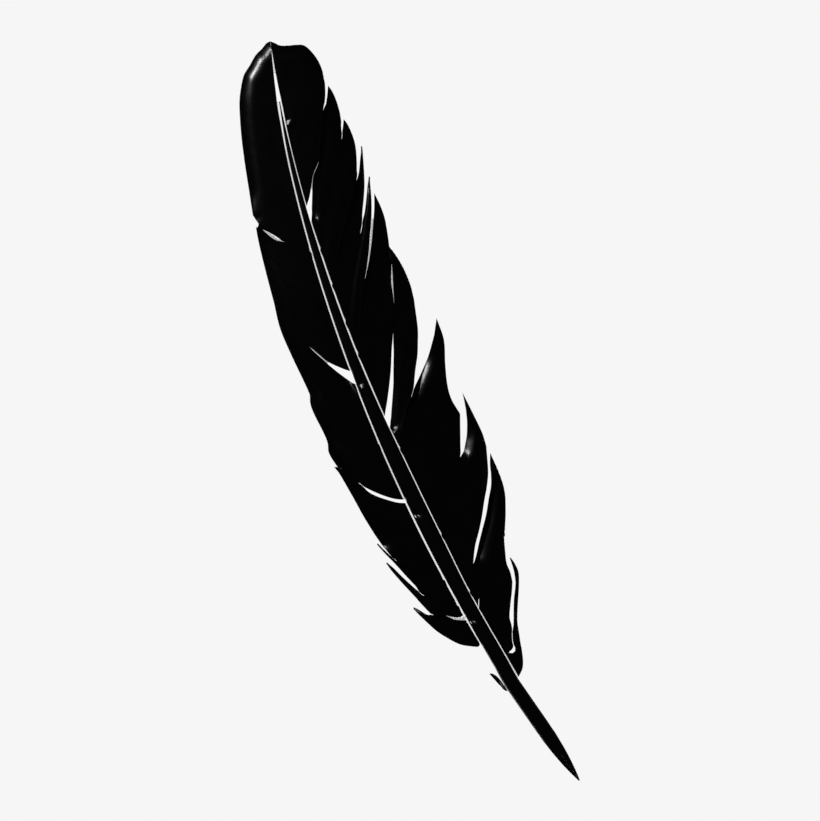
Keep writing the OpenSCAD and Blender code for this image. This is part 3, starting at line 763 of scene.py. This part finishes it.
for side, word, rows in ((-1, "outer_barbs", OUTER_LOCKS), (1, "inner_barbs", INNER_LOCKS)):
    samples = [border_samples(side, row) for row in rows]
    for k, row in enumerate(rows):
        others = np.concatenate([p for i, p in enumerate(samples) if abs(i - k) == 1])
        # outer edges that run on into this one's, at its lower and upper corners
        rims, runs_on = [], [0, 0]
        for end, (i, mine, theirs) in enumerate(((k + 1, 0, -1), (k - 1, -1, 0))):
            if 0 <= i < len(rows):
                a, b = (samples[n][SAMPLES:2 * SAMPLES] for n in (k, i))
                if np.linalg.norm(a[mine] - b[theirs]) < 1.3:
                    rims.append(b)
                    runs_on[end] = 1
        laps_below = rows[k + 1][6] if k + 1 < len(rows) else []
        node = f"{word}_{k + 1}"
        seed = k + 1 if side < 0 else k + 20
        lock = make_lock(f"{word}_lock_{k + 1}", node, side, row, others, rims, runs_on,
                         laps_below, k == 0, seed)
        finish_piece(lock, "quill", barbs_mat, "barbs", node)

# ---- shaft -----------------------------------------------------------------


def make_shaft():
    rng = np.random.default_rng(77)
    s = np.concatenate([np.linspace(SHAFT_FOOT, 0, 22)[:-1], np.linspace(0, SHAFT_END, 146)])
    centre, half = shaft_row(s)
    half = np.maximum(half, 0.05)
    path = placed(centre, s, np.zeros_like(s))
    path[0] = (0, 0, BARREL_TOP)
    blend = smooth((path[:, 2] - BARREL_TOP) / 12)
    path[:, 0] *= blend
    tangent = np.gradient(path, axis=0)
    tangent[0] = (0, 0, 1)
    tangent /= np.linalg.norm(tangent, axis=1)[:, None]
    across = np.cross(np.array([0, 1.0, 0]), tangent)
    across /= np.linalg.norm(across, axis=1)[:, None]
    back = np.cross(tangent, across)
    sides = 56
    a = 2 * np.pi * np.arange(sides) / sides
    flute = 1 + 0.006 * (rng.random(sides) - 0.5) * 2
    rings = []
    for i in range(len(s)):
        k = float(blend[i])
        w = (1 - k) * BARREL_R + k * half[i]
        h = w * ((1 - k) + k * SHAFT_DEPTH)
        power = 2 / (2 + 0.45 * k)
        cx = np.sign(np.cos(a)) * np.abs(np.cos(a)) ** power
        cy = np.sign(np.sin(a)) * np.abs(np.sin(a)) ** power
        groove = 0.15 * k * np.exp(-(cx / 0.3) ** 2) * (cy > 0)
        f = 1 + (flute - 1) * k
        rings.append(path[i] + across[i] * (w * cx * f)[:, None]
                     + back[i] * (h * (cy - groove) * f)[:, None])
    verts = np.concatenate(rings)
    run = run_along(path)
    uv = np.array([[GRAIN_R * a[j], run[i]] for i in range(len(s)) for j in range(sides)])
    faces = []
    for i in range(len(s) - 1):
        for j in range(sides):
            k = (j + 1) % sides
            faces.append([i * sides + j, i * sides + k, (i + 1) * sides + k, (i + 1) * sides + j])
    faces.append(list(range(sides))[::-1])
    faces.append([(len(s) - 1) * sides + j for j in range(sides)])
    return make_mesh("shaft_horn", verts, faces, uv, 50)


finish_piece(make_shaft(), "quill", horn_mat, "horn", "shaft_cortex")

pith = frame["nodes"]["shaft_pith"]
pith.data.materials.clear()
pith.data.materials.append(pith_mat)

# ---- barrel and nib --------------------------------------------------------


def outer_r(z):
    return NIB_R + (BARREL_R - NIB_R) * (1 - smooth((SHOULDER_Z - z) / 1.4))


def inner_r(z):
    thin = NIB_T - 0.14 * smooth((POINT_Z + 5 - z) / 5)
    nib = outer_r(z) - thin
    k = smooth((SHOULDER_Z - z) / 1.4)
    return BORE_R * (1 - k) + nib * k


def cut_angle(z):
    """Half the angle of horn left round the barrel at height z; the front is 0."""
    t = np.clip((z - POINT_Z) / NIB_L, 0, 1)
    tip = POINT_W / 2 / NIB_R
    half = tip + (1 - tip) * (1 - (1 - t) ** NIB_SWELL)
    open_ = np.clip((1 - t) / 0.3, 0, 1)
    return np.degrees(np.arcsin(half)) + 90 * (1 - open_ ** 0.6) ** 1.7


def trough_points(z, angles, radius):
    a = np.radians(angles)
    return np.stack([radius[:, None] * np.sin(a), -radius[:, None] * np.cos(a),
                     np.broadcast_to(z[:, None], a.shape)], -1)


def shell(name, z_out, z_in, low, high, cols, capped):
    """A wall of horn from angle low(z) to high(z), between the outer and inner radii."""
    share = np.linspace(0, 1, cols)[None]
    grids = []
    for z, radius in ((z_out, outer_r(z_out)), (z_in, inner_r(z_in))):
        angles = low(z)[:, None] * (1 - share) + high(z)[:, None] * share
        grids.append((trough_points(z, angles, radius), angles, z))
    n = len(z_out) * cols
    verts = np.concatenate([g[0].reshape(-1, 3) for g in grids])
    uv = np.concatenate([
        np.stack([np.radians(angles) * GRAIN_R, np.broadcast_to(z[:, None], angles.shape)], -1).reshape(-1, 2)
        for _, angles, z in grids
    ])
    faces = grid_faces(len(z_out), cols, 0, True) + grid_faces(len(z_in), cols, n, False)
    a = np.arange(n).reshape(len(z_out), cols)
    b = n + np.arange(len(z_in) * cols).reshape(len(z_in), cols)
    shift = len(z_out) - len(z_in)
    for i in range(len(z_in) - 1):
        if high(z_in[i + 1:i + 2])[0] > 179.9:
            continue
        i_out = i + shift
        faces.append([a[i_out, 0], a[i_out + 1, 0], b[i + 1, 0], b[i, 0]])
        faces.append([b[i, -1], b[i + 1, -1], a[i_out + 1, -1], a[i_out, -1]])
    faces += wall_faces(list(a[-1]), list(b[-1]))
    if capped:
        faces.append(list(a[0][:-1])[::-1])
        faces.append(list(b[0][:-1]))
    else:
        faces += wall_faces(list(a[0]), list(b[0]), True)
    return make_mesh(name, verts, faces, uv, 40, 1e-7)


nib_z = np.concatenate([SHOULDER_Z - np.linspace(0, 1.5, 22)[1:] ** 1.6 / 1.5 ** 0.6,
                        np.linspace(SHOULDER_Z - 1.5, TINE_TOP, 42)[1:]])
tube_z = np.linspace(BARREL_TOP, SHOULDER_Z, 27)
z_out = np.concatenate([tube_z, nib_z])
z_in = np.concatenate([np.array([z for z in tube_z if z <= BORE_TOP]), nib_z])


def wall_angle(z):
    """As cut_angle, but the horn goes all the way round above the shoulder."""
    return np.where(z >= SHOULDER_Z - 1e-6, 180, cut_angle(z))


barrel = shell("barrel_horn", z_out, z_in, lambda z: -wall_angle(z), wall_angle, 73, True)
finish_piece(barrel, "quill", horn_mat, "horn", "barrel")

tine_z = np.linspace(TINE_TOP, POINT_Z, 61)


def slit_angle(z):
    return np.degrees(SLIT_W / 2 / NIB_R) * np.ones_like(z)


for side, body in ((-1, "left_tine"), (1, "right_tine")):
    if side < 0:
        tine = shell("left_tine_horn", tine_z, tine_z,
                     lambda z: -cut_angle(z), lambda z: -slit_angle(z), 21, False)
    else:
        tine = shell("right_tine_horn", tine_z, tine_z, slit_angle, cut_angle, 21, False)
    finish_piece(tine, None, horn_mat, "horn", body)
    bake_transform(tine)

# ---- camera, light and floor -----------------------------------------------

lo, hi = Vector(cad_lo), Vector(cad_hi)
centre = (lo + hi) / 2
# the feather leans this far in the photograph, and stands this far off its middle there
LEAN = math.radians(34.7)
AIM_SHIFT, CAM_AWAY, FRAME_SHARE = Vector((-0.00241, 0, 0.00354)), 1.5, 1.0495
cam_data = bpy.data.cameras.new("camera")
cam_data.type = "ORTHO"
cam_data.ortho_scale = FRAME_SHARE * (hi.z - lo.z)
cam_data.clip_end = 20
cam = bpy.data.objects.new("camera", cam_data)
bpy.context.scene.collection.objects.link(cam)
right = Vector((math.cos(LEAN), 0, -math.sin(LEAN)))
up = Vector((math.sin(LEAN), 0, math.cos(LEAN)))
turn = Matrix((right, up, Vector((0, -1, 0)))).transposed().to_4x4()
aim = centre + AIM_SHIFT
cam.matrix_world = Matrix.Translation(aim + Vector((0, -CAM_AWAY, 0))) @ turn
bpy.context.scene.camera = cam
bpy.context.scene.view_settings.view_transform = "Standard"


def area_light(name, direction, distance, size, watts):
    data = bpy.data.lights.new(name, "AREA")
    data.shape = "DISK"
    data.size = size
    data.energy = watts
    obj = bpy.data.objects.new(name, data)
    way = Vector(direction).normalized()
    obj.location = centre + way * distance
    obj.rotation_euler = way.to_track_quat("Z", "Y").to_euler()
    obj.visible_camera = False
    bpy.context.scene.collection.objects.link(obj)


# the key stands 56 degrees off the camera's line, up and to the left
KEY_OFF, KEY_LEFT = math.radians(56), math.radians(48)
key_way = math.sin(KEY_OFF) * (math.cos(KEY_LEFT) * up - math.sin(KEY_LEFT) * right)
area_light("key", key_way + math.cos(KEY_OFF) * Vector((0, -1, 0)), 1.2, 0.2, 4.8)
area_light("fill_right", (0.75, 0.75, 0.3), 1.5, 0.8, 4.0)
area_light("fill_left", (-0.75, 0.75, 0.2), 1.5, 0.8, 4.0)
area_light("fill_back", (0.1, 1, 0.6), 1.5, 1.2, 3.0)


def lit_for_camera(tree, out, seen, dim_strength, kind):
    """The photo's flat pale ground to the camera, and a dim surround to everything else."""
    path = tree.nodes.new("ShaderNodeLightPath")
    mix = tree.nodes.new("ShaderNodeMixShader")
    shown, dim = tree.nodes.new(kind), tree.nodes.new(kind)
    shown.inputs["Color"].default_value = (seen, seen, seen, 1)
    shown.inputs["Strength"].default_value = 1
    dim.inputs["Color"].default_value = (1, 1, 1, 1)
    dim.inputs["Strength"].default_value = dim_strength
    tree.links.new(path.outputs["Is Camera Ray"], mix.inputs[0])
    tree.links.new(dim.outputs[0], mix.inputs[1])
    tree.links.new(shown.outputs[0], mix.inputs[2])
    tree.links.new(mix.outputs[0], out.inputs["Surface"])


# the ground's tone as seen, and how brightly world and floor light the feather
GROUND, WORLD_DIM, FLOOR_DIM = 0.922, 0.008, 0.015
FLOOR_HALF, FLOOR_DROP = 8.0, 0.0005
world = bpy.data.worlds.new("world")
world.use_nodes = True
world.node_tree.nodes.clear()
lit_for_camera(world.node_tree, world.node_tree.nodes.new("ShaderNodeOutputWorld"),
               GROUND, WORLD_DIM, "ShaderNodeBackground")
bpy.context.scene.world = world

floor_mesh = bpy.data.meshes.new("floor")
r, z = FLOOR_HALF, lo.z - FLOOR_DROP
floor_mesh.from_pydata([(-r, -r, z), (r, -r, z), (r, r, z), (-r, r, z)], [], [(0, 1, 2, 3)])
floor = bpy.data.objects.new("floor", floor_mesh)
bpy.context.scene.collection.objects.link(floor)
floor_mat = bpy.data.materials.new("floor")
floor_mat.use_nodes = True
floor_mat.node_tree.nodes.clear()
lit_for_camera(floor_mat.node_tree, floor_mat.node_tree.nodes.new("ShaderNodeOutputMaterial"),
               GROUND, FLOOR_DIM, "ShaderNodeEmission")
floor_mesh.materials.append(floor_mat)
